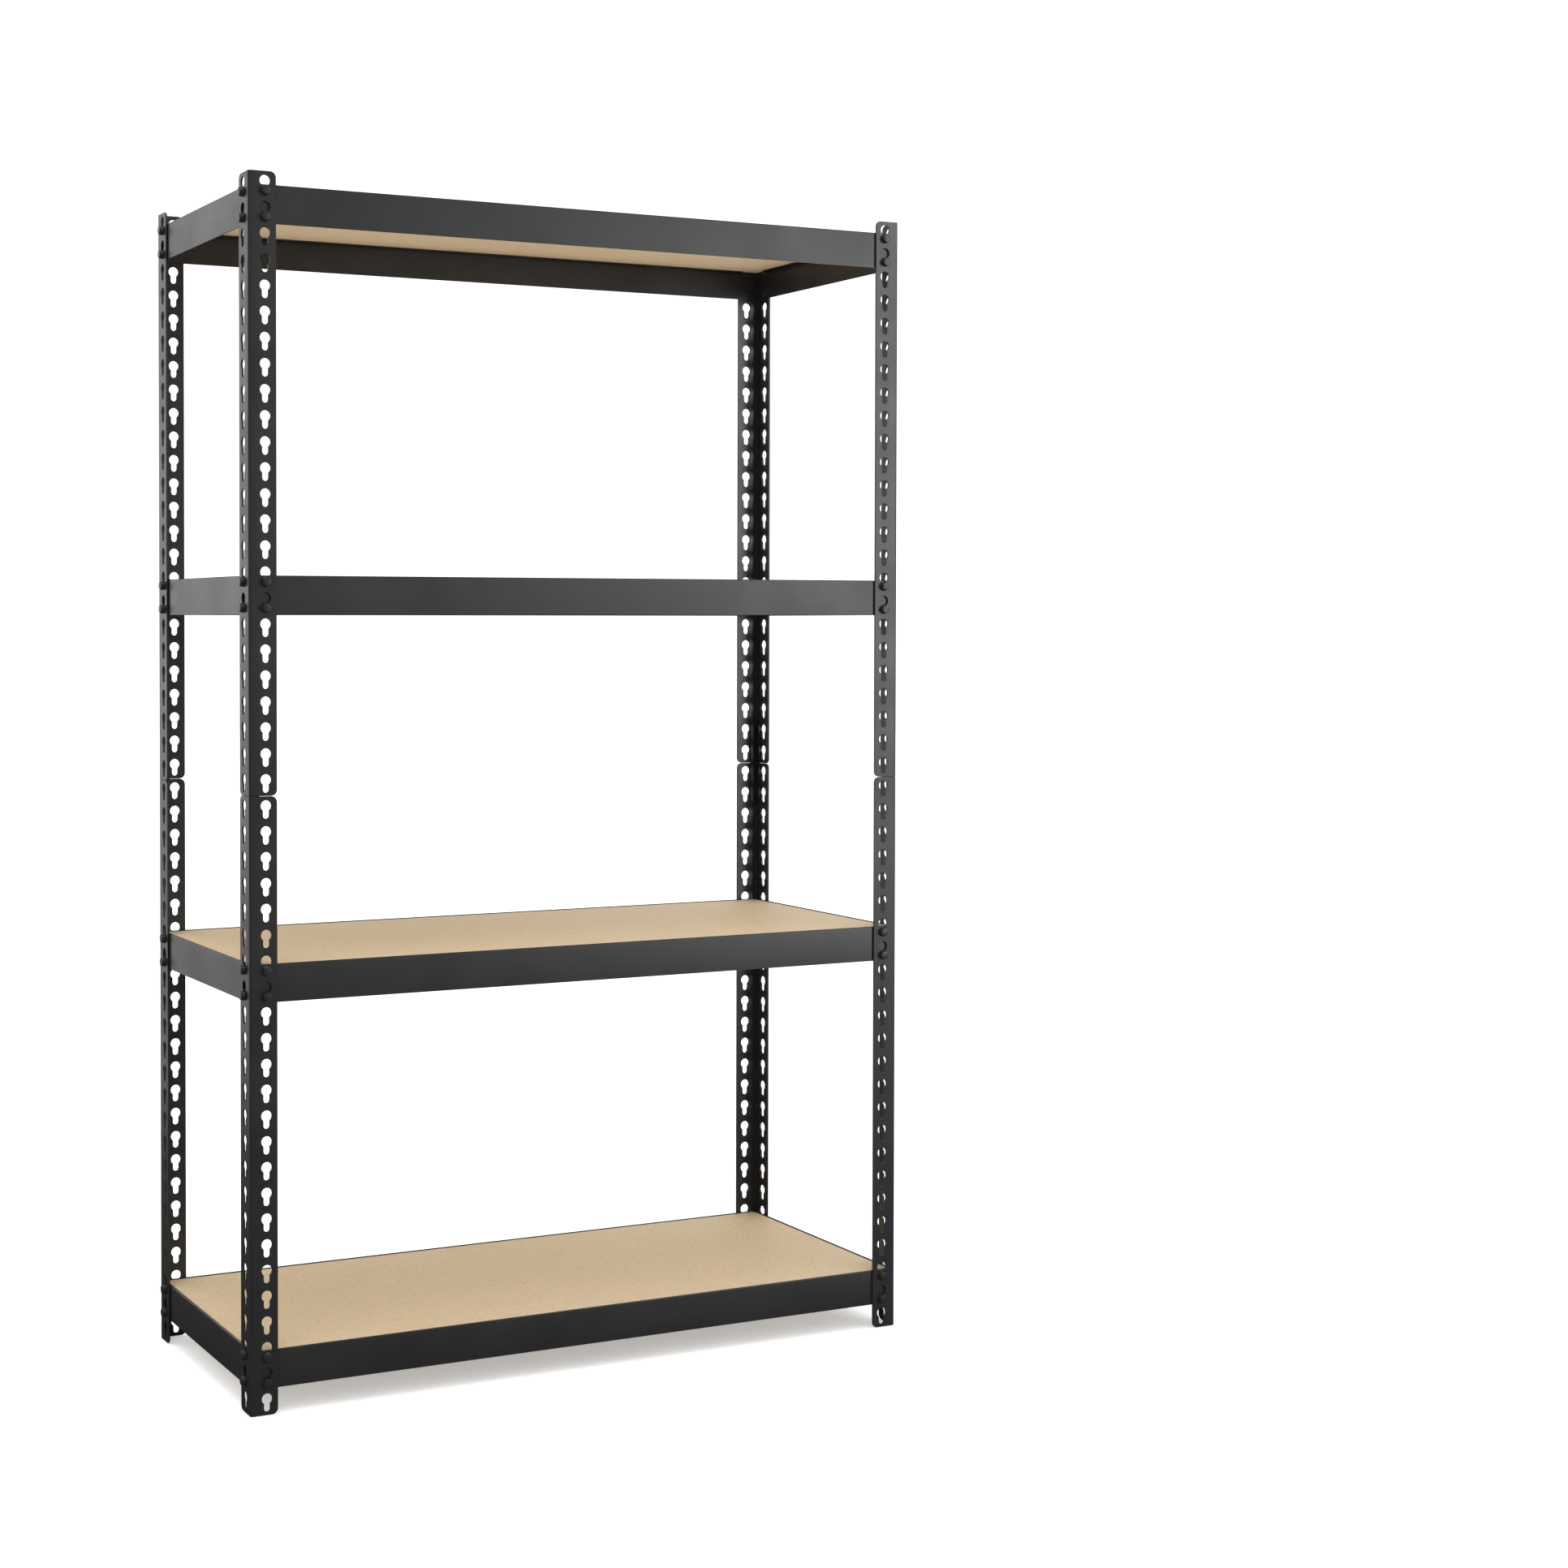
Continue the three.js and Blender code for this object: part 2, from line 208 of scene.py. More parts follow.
# %% Shader group: dust
def make_dust_group():
    tree, given, result = new_group(
        "Dust", "ShaderNodeTree", {"Speck Scale": (FLOAT, 220.0)}, {"Mask": FLOAT})
    place = tree.nodes.new("ShaderNodeTexCoord").outputs["Object"]
    normal = tree.nodes.new("ShaderNodeNewGeometry").outputs["Normal"]
    facing = add_node(tree, "ShaderNodeSeparateXYZ", {0: normal}).outputs["Z"]
    upward = add_node(tree, "ShaderNodeMapRange", {"Value": facing, "From Min": 0.6})
    specks = add_node(tree, "ShaderNodeTexNoise",
                      {"Vector": place, "Scale": given["Speck Scale"], "Detail": 6.0})
    settled = add_node(tree, "ShaderNodeMapRange",
                       {"Value": specks.outputs["Fac"], "From Min": 0.35, "From Max": 0.75})
    mask = calculate(tree, "MULTIPLY", upward.outputs["Result"], settled.outputs["Result"])
    tree.links.new(mask, result["Mask"])
    return tree


DUST = make_dust_group()
print(DUST.name, "has", len(DUST.nodes), "nodes")

# %% [markdown]
# ## Paint
#
# Posts and beams are charcoal, satin powder coat on sheet steel. Paint isn't a metal, so Metallic
# stays 0: its dark base is nearly black, and most of what is seen is the room, reflected softly.
# One function makes each shade. Even values go straight on the shader's own sockets, and only
# what varies over the surface arrives through the groups.


# %% Material helpers
def place_group(tree, group, **inputs):
    """The outputs of a group placed in a material, with some of its inputs set."""
    node = add_node(tree, "ShaderNodeGroup", node_tree=group)
    for label, value in inputs.items():
        node.inputs[label.replace("_", " ")].default_value = value
    return node.outputs


def blend_colours(tree, factor, first, second):
    """A mix of two colours, where 0 gives the first and 1 the second."""
    node = tree.nodes.new("ShaderNodeMix")
    node.data_type = "RGBA"
    for key, value in (("Factor_Float", factor), ("A_Color", first), ("B_Color", second)):
        socket = next(s for s in node.inputs if s.identifier == key)
        if isinstance(value, bpy.types.NodeSocket):
            tree.links.new(value, socket)
        else:
            socket.default_value = value
    return next(s for s in node.outputs if s.identifier == "Result_Color")


def new_material(name):
    """A material, its node tree and its Principled BSDF."""
    material = bpy.data.materials.new(name)
    material.use_nodes = True
    tree = material.node_tree
    return material, tree, tree.nodes["Principled BSDF"]


print("material helpers ready")


# %% Paint materials
DEEP_TONE = 0.82
LIGHT_TONE = 1.22
WORN = (0.13, 0.128, 0.125, 1)
DUSTY = (0.30, 0.28, 0.25, 1)
DUST_SHARE = 0.05
PAINT_IOR = 1.5


def make_paint(name, colour, gloss_low, gloss_high, wear):
    """Powder coat of one colour, whose roughness wanders between two values."""
    material, tree, surface = new_material(name)
    powder = place_group(tree, POWDER)
    edge = place_group(tree, EDGE_WEAR)
    dust = place_group(tree, DUST)
    deep = tuple(DEEP_TONE * c for c in colour) + (1,)
    light = tuple(LIGHT_TONE * c for c in colour) + (1,)
    tone = blend_colours(tree, powder["Cloud"], deep, light)
    rubbed = calculate(tree, "MULTIPLY", edge["Mask"], wear)
    settled = calculate(tree, "MULTIPLY", dust["Mask"], DUST_SHARE)
    tone = blend_colours(tree, rubbed, tone, WORN)
    tone = blend_colours(tree, settled, tone, DUSTY)
    rough = add_node(tree, "ShaderNodeMapRange",
                     {"Value": powder["Cloud"], "From Min": 0.3, "From Max": 0.7,
                      "To Min": gloss_low, "To Max": gloss_high})
    bump = add_node(tree, "ShaderNodeBump",
                    {"Height": powder["Height"], "Strength": 0.12, "Distance": 0.05 * MM})
    tree.links.new(tone, surface.inputs["Base Color"])
    tree.links.new(rough.outputs["Result"], surface.inputs["Roughness"])
    tree.links.new(bump.outputs["Normal"], surface.inputs["Normal"])
    surface.inputs["IOR"].default_value = PAINT_IOR
    return material


POST_PAINT = make_paint("post powder coat", (0.0140, 0.0140, 0.0145), 0.33, 0.41, 0.04)
BEAM_PAINT = make_paint("beam powder coat", (0.0135, 0.0135, 0.0140), 0.34, 0.42, 0.05)
COUPLER_PAINT = make_paint("coupler powder coat", (0.0065, 0.0065, 0.0067), 0.42, 0.50, 0.04)
print("paints:", POST_PAINT.name, "/", BEAM_PAINT.name, "/", COUPLER_PAINT.name)

# %% [markdown]
# ## Particleboard
#
# The decks are bare sanded particleboard: fine chips of wood pressed with resin, pale ones and a
# few dark ones, and a slow drift of colour over the board. Voronoi cells stand for the chips, each
# with its own tint, at two sizes, and a noise stretches their outlines so that they don't look
# like tiles. Sanding leaves almost no height, so the bump is slight.


# %% Shader group: wood chips
CHIP_BEND = 0.9 * MM
BROAD_CHIP_SIZE = 2.7
FINE_SHARE = 0.6


def make_chip_group():
    tree, given, result = new_group(
        "Wood chips", "ShaderNodeTree",
        {"Chip Scale": (FLOAT, 1250.0), "Drift Scale": (FLOAT, 9.0)},
        {"Tint": FLOAT, "Dark Chip": FLOAT, "Drift": FLOAT, "Height": FLOAT})
    place = tree.nodes.new("ShaderNodeTexCoord").outputs["Object"]
    bend = add_node(tree, "ShaderNodeTexNoise",
                    {"Vector": place, "Scale": given["Chip Scale"], "Detail": 2.0})
    shift = add_node(tree, "ShaderNodeVectorMath", {0: bend.outputs["Color"]}, operation="SCALE")
    shift.inputs["Scale"].default_value = CHIP_BEND
    bent = add_node(tree, "ShaderNodeVectorMath", {0: place, 1: shift.outputs["Vector"]},
                    operation="ADD").outputs["Vector"]
    fine = add_node(tree, "ShaderNodeTexVoronoi", {"Vector": bent, "Scale": given["Chip Scale"]})
    broad_scale = calculate(tree, "DIVIDE", given["Chip Scale"], BROAD_CHIP_SIZE)
    broad = add_node(tree, "ShaderNodeTexVoronoi", {"Vector": bent, "Scale": broad_scale})
    fine_tint = add_node(tree, "ShaderNodeSeparateColor", {0: fine.outputs["Color"]})
    broad_tint = add_node(tree, "ShaderNodeSeparateColor", {0: broad.outputs["Color"]})
    tint = calculate(tree, "MULTIPLY_ADD", fine_tint.outputs[0], FINE_SHARE,
                     calculate(tree, "MULTIPLY", broad_tint.outputs[0], 1 - FINE_SHARE))
    dark = add_node(tree, "ShaderNodeMapRange",
                    {"Value": broad_tint.outputs[1], "From Min": 0.90, "From Max": 0.97})
    drift = add_node(tree, "ShaderNodeTexNoise",
                     {"Vector": place, "Scale": given["Drift Scale"], "Detail": 5.0})
    tree.links.new(tint, result["Tint"])
    tree.links.new(dark.outputs["Result"], result["Dark Chip"])
    tree.links.new(drift.outputs["Fac"], result["Drift"])
    tree.links.new(fine_tint.outputs[2], result["Height"])
    return tree


WOOD_CHIPS = make_chip_group()
print(WOOD_CHIPS.name, "has", len(WOOD_CHIPS.nodes), "nodes")


# %% Board material
DRIFT_SHARE = 0.45
DARK_CHIP_SHARE = 0.26
SAWN_EDGE_SHARE = 0.5
BOARD_SPECULAR = 0.2


def make_board(name, pale, deep, chip):
    """Sanded board between two tones, with darker chips and edges."""
    material, tree, surface = new_material(name)
    chips = place_group(tree, WOOD_CHIPS)
    edge = place_group(tree, EDGE_WEAR, Radius=0.8 * MM)
    tone = blend_colours(tree, chips["Tint"], deep, pale)
    drift = calculate(tree, "MULTIPLY", chips["Drift"], DRIFT_SHARE)
    tone = blend_colours(tree, drift, tone, deep)
    specks = calculate(tree, "MULTIPLY", chips["Dark Chip"], DARK_CHIP_SHARE)
    tone = blend_colours(tree, specks, tone, chip)
    rubbed = calculate(tree, "MULTIPLY", edge["Mask"], SAWN_EDGE_SHARE)
    tone = blend_colours(tree, rubbed, tone, chip)
    rough = add_node(tree, "ShaderNodeMapRange",
                     {"Value": chips["Tint"], "To Min": 0.62, "To Max": 0.80})
    bump = add_node(tree, "ShaderNodeBump",
                    {"Height": chips["Height"], "Strength": 0.2, "Distance": 0.06 * MM})
    tree.links.new(tone, surface.inputs["Base Color"])
    tree.links.new(rough.outputs["Result"], surface.inputs["Roughness"])
    tree.links.new(bump.outputs["Normal"], surface.inputs["Normal"])
    surface.inputs["Specular IOR Level"].default_value = BOARD_SPECULAR
    return material


BOARD = make_board("sanded particleboard", (0.66, 0.52, 0.335, 1), (0.515, 0.39, 0.235, 1),
                   (0.24, 0.15, 0.08, 1))
print("board:", BOARD.name)

# %% [markdown]
# ## Outlines and edges
#
# A flat outline becomes a loop of edges, which Geometry Nodes can turn into a curve. Round
# stretches come from one arc formula. Finished sheet never has knife edges: the paint rounds them,
# so the sharp convex edges of each piece get a narrow bevel, and only those, because a bevel in an
# inside corner would fill it.


# %% Outline and edge helpers
SHARP_ANGLE = math.radians(50)
SMOOTH_ANGLE = math.radians(40)
WELD = 0.01 * MM
FINE_WELD = 0.002 * MM


def arc(centre_x, centre_y, radius, start, end, steps):
    """Points along an arc, both ends included."""
    angles = [start + (end - start) * step / steps for step in range(steps + 1)]
    return [(centre_x + radius * math.cos(a), centre_y + radius * math.sin(a)) for a in angles]


def add_object(name, mesh):
    piece = bpy.data.objects.new(name, mesh)
    bpy.context.collection.objects.link(piece)
    return piece


def placed_copy(pattern, name, foot, turns):
    """A copy of a mesh, turned by quarter turns and moved, in an object that stays at the origin."""
    mesh = pattern.copy()
    mesh.transform(Matrix.Translation(foot) @ Matrix.Rotation(turns * math.pi / 2, 4, "Z"))
    return add_object(name, mesh)


def outline_object(name, points):
    """A closed loop of edges in the XY plane."""
    mesh = bpy.data.meshes.new(name)
    count = len(points)
    edges = [(i, (i + 1) % count) for i in range(count)]
    mesh.from_pydata([(x, y, 0) for x, y in points], edges, [])
    return add_object(name, mesh)


def ease_edges(mesh, width):
    """Bevels the sharp convex edges of a closed mesh, and shades its round stretches smooth."""
    work = bmesh.new()
    work.from_mesh(mesh)
    bmesh.ops.remove_doubles(work, verts=work.verts, dist=FINE_WELD)
    edges = [e for e in work.edges
             if e.is_manifold and e.is_convex and e.calc_face_angle() > SHARP_ANGLE]
    bmesh.ops.bevel(work, geom=edges, offset=width, segments=1, affect="EDGES",
                    profile=0.5, clamp_overlap=True, material=-1)
    volume = work.calc_volume(signed=True)
    work.to_mesh(mesh)
    work.free()
    mesh.polygons.foreach_set("use_smooth", [True] * len(mesh.polygons))
    mesh.set_sharp_from_angle(angle=SMOOTH_ANGLE)
    return volume


print("outline and edge helpers ready")

# %% [markdown]
# ## The posts' sizes
#
# A post is an equal angle of 14 gauge sheet. Its outside corner, its height and its flange width
# come from the frame. The keyhole is a round head that a rivet enters, over a slot that its shank
# drops into, once an inch. The origin of the keyhole's outline is where the shank comes to rest.

# %% Post sizes
half_low, half_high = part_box("front_left_post_lower")
UPPER_HALF_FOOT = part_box("front_left_post_upper")[0].z
POST_FACE_X = -half_low.x
POST_FACE_Y = -half_low.y
HALF_HEIGHT = half_high.z - half_low.z
FLANGE_WIDTH = half_high.x - half_low.x
POST_SHEET = 1.9 * MM
BEND_RADIUS = 2.4 * MM
CORNER_RADIUS = 6 * MM
STEEL_EDGE = 0.18 * MM

KEYHOLE_PITCH = 25.4 * MM
KEYHOLE_LINE = 17.1 * MM
HEAD_RADIUS = 5.55 * MM
SLOT_HALF_WIDTH = 3.175 * MM
KEYHOLE_DROP = 9.525 * MM
FIRST_SEAT = 6.35 * MM
KEYHOLE_COUNT = 24
print("flange", round(FLANGE_WIDTH / MM, 2), "mm, half", round(HALF_HEIGHT / MM, 2), "mm")

# %% [markdown]
# ## Flat blank
#
# The real post is punched while it is flat and then folded, and so is this one. The bend lies
# along the middle of the blank, x = 0, and half of its length round the outside is half_bend. A
# distance from the post's outside corner is moved onto the blank by on_blank().

# %% Outlines of the blank
SLOT_STEPS = 6
HEAD_STEPS = 11
CORNER_STEPS = 6
half_bend = BEND_RADIUS * math.pi / 4


def on_blank(distance):
    return distance - BEND_RADIUS + half_bend


neck_angle = math.asin(SLOT_HALF_WIDTH / HEAD_RADIUS)
keyhole_outline = outline_object("keyhole_outline", [
    *arc(0, 0, SLOT_HALF_WIDTH, math.pi, 2 * math.pi, SLOT_STEPS),
    *arc(0, KEYHOLE_DROP, HEAD_RADIUS,
         neck_angle - math.pi / 2, 1.5 * math.pi - neck_angle, HEAD_STEPS),
])
flange_edge = on_blank(FLANGE_WIDTH)
corner_x = flange_edge - CORNER_RADIUS
flange_outline = outline_object("flange_outline", [
    (half_bend, 0),
    *arc(corner_x, CORNER_RADIUS, CORNER_RADIUS, -math.pi / 2, 0, CORNER_STEPS),
    *arc(corner_x, HALF_HEIGHT - CORNER_RADIUS, CORNER_RADIUS, 0, math.pi / 2, CORNER_STEPS),
    (half_bend, HALF_HEIGHT),
])
print("keyhole has", len(keyhole_outline.data.vertices), "points")

# %% [markdown]
# ## Punch, fold and paint: the post as a Geometry Nodes tree
#
# The tree fills the flange's outline with the keyholes left open, mirrors it for the other flange,
# joins both with narrow strips across the bend, and gives the sheet its thickness. Then one Set
# Position rolls it up: along the bend a point turns about the bend's centre, and past the bend it
# goes on straight. Because x is measured along the outside, the inside of the bend comes out
# tighter by itself, as in real folded sheet.


# %% Geometry tree: fold a sheet
def fold_sheet(tree, geometry, bend_radius):
    """Folds a flat sheet about the Y axis by a quarter turn, into the corner at the origin."""
    point = tree.nodes.new("GeometryNodeInputPosition").outputs[0]
    flat = add_node(tree, "ShaderNodeSeparateXYZ", {0: point}).outputs
    half = calculate(tree, "MULTIPLY", bend_radius, math.pi / 4)
    low = calculate(tree, "MULTIPLY", half, -1.0)
    in_bend = add_node(tree, "ShaderNodeClamp",
                       {"Value": flat["X"], "Min": low, "Max": half}).outputs[0]
    past_bend = calculate(tree, "SUBTRACT", flat["X"], in_bend)
    turn = calculate(tree, "DIVIDE", in_bend, bend_radius)
    # The middle of the bend faces the post's outside corner, at -135 degrees.
    angle = calculate(tree, "SUBTRACT", turn, 0.75 * math.pi)
    radius = calculate(tree, "SUBTRACT", bend_radius, flat["Z"])
    cosine = calculate(tree, "COSINE", angle)
    sine = calculate(tree, "SINE", angle)
    x = calculate(tree, "MULTIPLY_ADD", radius, cosine, bend_radius)
    y = calculate(tree, "MULTIPLY_ADD", radius, sine, bend_radius)
    x = calculate(tree, "SUBTRACT", x, calculate(tree, "MULTIPLY", past_bend, sine))
    y = calculate(tree, "ADD", y, calculate(tree, "MULTIPLY", past_bend, cosine))
    folded = add_node(tree, "ShaderNodeCombineXYZ", {"X": x, "Y": y, "Z": flat["Y"]})
    moved = add_node(tree, "GeometryNodeSetPosition",
                     {"Geometry": geometry, "Position": folded.outputs[0]})
    return moved.outputs[0]


# %% Geometry tree: punched and folded angle
BEND_STEPS = 8


def make_angle_tree():
    tree, given, result = new_group(
        "Punched and folded angle", "GeometryNodeTree",
        {"Flange Outline": ("NodeSocketGeometry", None), "Keyhole": ("NodeSocketObject", None),
         "Keyhole Count": ("NodeSocketInt", KEYHOLE_COUNT), "Keyhole Pitch": (FLOAT, KEYHOLE_PITCH),
         "First Keyhole": ("NodeSocketVector", None), "Height": (FLOAT, HALF_HEIGHT),
         "Sheet": (FLOAT, POST_SHEET), "Bend Radius": (FLOAT, BEND_RADIUS),
         "Bend Steps": ("NodeSocketInt", BEND_STEPS), "Paint": ("NodeSocketMaterial", None)},
        {"Angle": "NodeSocketGeometry"})
    rim = add_node(tree, "GeometryNodeMeshToCurve", {"Mesh": given["Flange Outline"]})
    punch = add_node(tree, "GeometryNodeObjectInfo", {"Object": given["Keyhole"]})
    hole = add_node(tree, "GeometryNodeMeshToCurve", {"Mesh": punch.outputs["Geometry"]})
    step = add_node(tree, "ShaderNodeCombineXYZ", {"Y": given["Keyhole Pitch"]})
    row = add_node(tree, "GeometryNodeMeshLine",
                   {"Count": given["Keyhole Count"], "Start Location": given["First Keyhole"],
                    "Offset": step.outputs[0]}, mode="OFFSET")
    holes = add_node(tree, "GeometryNodeInstanceOnPoints",
                     {"Points": row.outputs[0], "Instance": hole.outputs[0]})
    holes = add_node(tree, "GeometryNodeRealizeInstances", {"Geometry": holes.outputs[0]})
    drawing = tree.nodes.new("GeometryNodeJoinGeometry")
    for part in (rim, holes):
        tree.links.new(part.outputs[0], drawing.inputs[0])
    flange = add_node(tree, "GeometryNodeFillCurve", {"Curve": drawing.outputs[0]}).outputs[0]
    mirrored = add_node(tree, "GeometryNodeTransform", {"Geometry": flange, "Scale": (-1, 1, 1)})
    other = add_node(tree, "GeometryNodeFlipFaces", {"Mesh": mirrored.outputs[0]})
    bend_width = calculate(tree, "MULTIPLY", given["Bend Radius"], math.pi / 2)
    strips = add_node(tree, "GeometryNodeMeshGrid",
                      {"Size X": bend_width, "Size Y": given["Height"],
                       "Vertices X": given["Bend Steps"], "Vertices Y": 2})
    middle = add_node(tree, "ShaderNodeCombineXYZ",
                      {"Y": calculate(tree, "MULTIPLY", given["Height"], 0.5)})
    bend = add_node(tree, "GeometryNodeTransform",
                    {"Geometry": strips.outputs[0], "Translation": middle.outputs[0]})
    blank = tree.nodes.new("GeometryNodeJoinGeometry")
    for part in (flange, other.outputs[0], bend.outputs[0]):
        tree.links.new(part, blank.inputs[0])
    outside = add_node(tree, "GeometryNodeMergeByDistance",
                       {"Geometry": blank.outputs[0], "Distance": WELD}).outputs[0]
    depth = add_node(tree, "ShaderNodeCombineXYZ", {"Z": given["Sheet"]})
    inside = add_node(tree, "GeometryNodeExtrudeMesh",
                      {"Mesh": outside, "Offset": depth.outputs[0], "Offset Scale": 1.0,
                       "Individual": False}, mode="FACES")
    back = add_node(tree, "GeometryNodeFlipFaces", {"Mesh": outside})
    sheet = tree.nodes.new("GeometryNodeJoinGeometry")
    for part in (inside.outputs[0], back.outputs[0]):
        tree.links.new(part, sheet.inputs[0])
    closed = add_node(tree, "GeometryNodeMergeByDistance",
                      {"Geometry": sheet.outputs[0], "Distance": WELD})
    folded = fold_sheet(tree, closed.outputs[0], given["Bend Radius"])
    turned = add_node(tree, "GeometryNodeFlipFaces", {"Mesh": folded})
    real = add_node(tree, "GeometryNodeRealizeInstances", {"Geometry": turned.outputs[0]})
    painted = add_node(tree, "GeometryNodeSetMaterial",
                       {"Geometry": real.outputs[0], "Material": given["Paint"]})
    tree.links.new(painted.outputs[0], result["Angle"])
    return tree


ANGLE_TREE = make_angle_tree()
print(ANGLE_TREE.name, "has", len(ANGLE_TREE.nodes), "nodes")


# %% Run a tree on an object and keep a plain mesh
def grow(host, tree, name, **inputs):
    """The mesh that the tree makes of the host object. Inputs are set by the sockets' identifiers."""
    modifier = host.modifiers.new("grow", "NODES")
    modifier.node_group = tree
    for item in tree.interface.items_tree:
        label = item.name.replace(" ", "_")
        if item.in_out == "INPUT" and label in inputs:
            modifier[item.identifier] = inputs[label]
    bpy.context.view_layer.update()
    evaluated = host.evaluated_get(bpy.context.evaluated_depsgraph_get())
    mesh = bpy.data.meshes.new_from_object(evaluated)
    mesh.name = name
    # Slots that the tree left empty would show up as unpainted faces.
    while None in mesh.materials[:]:
        mesh.materials.pop(index=mesh.materials[:].index(None))
    bpy.data.objects.remove(host)
    return mesh


post_half = grow(
    flange_outline, ANGLE_TREE, "post_half", Keyhole=keyhole_outline, Keyhole_Count=KEYHOLE_COUNT,
    Keyhole_Pitch=KEYHOLE_PITCH, First_Keyhole=(on_blank(KEYHOLE_LINE), FIRST_SEAT, 0.0),
    Height=HALF_HEIGHT, Sheet=POST_SHEET, Bend_Radius=BEND_RADIUS, Bend_Steps=BEND_STEPS,
    Paint=POST_PAINT)
bpy.data.objects.remove(keyhole_outline)
post_volume = ease_edges(post_half, STEEL_EDGE)
print("post half:", len(post_half.polygons), "faces,", round(post_volume * 1e6, 1), "cm3")

# %% [markdown]
# ## Eight post halves
#
# All eight are the same part. Each corner of the unit is the front left one turned by quarter
# turns, and the upper half stands on the lower one. The place goes into the mesh, so the object
# itself stays at the origin and the paint's texture runs on from piece to piece.

# %% Post halves
for turns, corner in enumerate(CORNERS):
    side_x = -1 if "left" in corner else 1
    side_y = -1 if "front" in corner else 1
    for half, floor_level in (("lower", 0.0), ("upper", UPPER_HALF_FOOT)):
        node = f"{corner}_post_{half}"
        foot = Vector((side_x * POST_FACE_X, side_y * POST_FACE_Y, floor_level))
        piece = placed_copy(post_half, f"{node}_steel", foot, turns)
        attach(piece, "posts")
        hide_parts(node)
print("post halves:", 2 * len(CORNERS), "with", 2 * KEYHOLE_COUNT, "keyholes each")

# %% [markdown]
# ## Couplers
#
# A short angle hides inside the fold of each post, across the joint of its two halves. The packed
# solid already has the right shape, so it only gets its paint.

# %% Couplers
for corner in CORNERS:
    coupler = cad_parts[f"{corner}_post_coupler"]
    coupler.data.materials.clear()
    coupler.data.materials.append(COUPLER_PAINT)
print("couplers:", len(CORNERS))

# %% [markdown]
# ## Beams
#
# A beam is a strip of 18 gauge sheet. Its web stands behind the posts' flanges, its top edge is
# folded right over, and the fold runs down to a ledge that turns inwards to carry the deck. The
# section is one outline with true bends, and extruding it gives the bar. Near the posts the fold
# and the ledge are cut away at 45 degrees, so that the beams of one corner don't meet. A boolean
# cut does that, which is the simplest way to slice a bar whose web must stay whole.

# %% Beam sizes
FIT_GAP = 0.3 * MM
BEAM_SHEET = 1.2 * MM
BEAM_END_INSET = 6.35 * MM
LEDGE_REACH = 9.8 * MM
LEDGE_END_CLEARANCE = 1.5 * MM
LEDGE_BEND = 0.5 * MM
CUT_MARGIN = 1 * MM

bar_low, bar_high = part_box("bottom_left_end_beam")
deck_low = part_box("bottom_deck")[0]
BEAM_HEIGHT = bar_high.z - bar_low.z
LEDGE_TOP = deck_low.z - FIT_GAP - bar_low.z
WEB_DEPTH = POST_SHEET + FIT_GAP
print("beam", round(BEAM_HEIGHT / MM, 2), "mm high, ledge at", round(LEDGE_TOP / MM, 2), "mm")


# %% Beam section
def beam_section():
    """x runs inwards from the outside of the web, y runs up from its lower edge."""
    sheet = BEAM_SHEET
    top = BEAM_HEIGHT - sheet
    bend_x = 2 * sheet + LEDGE_BEND
    bend_y = LEDGE_TOP + LEDGE_BEND
    return [
        (0, 0),
        (sheet, 0),
        *arc(bend_x, bend_y, LEDGE_BEND + sheet, math.pi, 1.5 * math.pi, 5),
        (LEDGE_REACH, LEDGE_TOP - sheet),
        (LEDGE_REACH, LEDGE_TOP),
        *arc(bend_x, bend_y, LEDGE_BEND, 1.5 * math.pi, math.pi, 4),
        *arc(sheet, top, sheet, 0, math.pi, 10),
    ]


def prism(name, outline, low, high, place_point):
    """A closed solid: an outline extruded from low to high, each point placed by a function."""
    shape = bmesh.new()
    rings = []
    for depth in (low, high):
        rings.append([shape.verts.new(place_point(a, b, depth)) for a, b in outline])
    first, last = rings
    shape.faces.new(first)
    shape.faces.new(list(reversed(last)))
    for i in range(len(outline)):
        j = (i + 1) % len(outline)
        shape.faces.new((first[i], last[i], last[j], first[j]))
    bmesh.ops.recalc_face_normals(shape, faces=shape.faces)
    mesh = bpy.data.meshes.new(name)
    shape.to_mesh(mesh)
    shape.free()
    return add_object(name, mesh)


print("beam section has", len(beam_section()), "points")


# %% Bars with cut ends
def beam_mesh(span, name):
    """A beam between two posts whose outside corners are span apart, centred along X, z = 0."""
    web_end = span / 2 - BEAM_END_INSET
    bar = prism(name, beam_section(), -web_end, web_end, lambda a, b, depth: (depth, a, b))
    tip = span / 2 - FLANGE_WIDTH - LEDGE_END_CLEARANCE
    beyond = web_end + CUT_MARGIN
    reach = LEDGE_REACH + CUT_MARGIN
    slice_outline = [
        (beyond, BEAM_SHEET),
        (tip + LEDGE_REACH - BEAM_SHEET, BEAM_SHEET),
        (tip - CUT_MARGIN, reach),
        (beyond, reach),
    ]
    for side in (-1, 1):
        cutter = prism("ledge_end_cutter", slice_outline, -CUT_MARGIN, BEAM_HEIGHT + CUT_MARGIN,
                       lambda a, b, depth: (side * a, b, depth))
        cut = bar.modifiers.new("cut", "BOOLEAN")
        cut.object = cutter
        cut.solver = "EXACT"
        bpy.context.view_layer.update()
        evaluated = bar.evaluated_get(bpy.context.evaluated_depsgraph_get())
        bar.data = bpy.data.meshes.new_from_object(evaluated)
        bar.modifiers.clear()
        bpy.data.objects.remove(cutter)
    mesh = bar.data
    bpy.data.objects.remove(bar)
    mesh.materials.clear()
    mesh.materials.append(BEAM_PAINT)
    volume = ease_edges(mesh, STEEL_EDGE)
    print(name, len(mesh.polygons), "faces,", round(volume * 1e6, 1), "cm3")
    return mesh


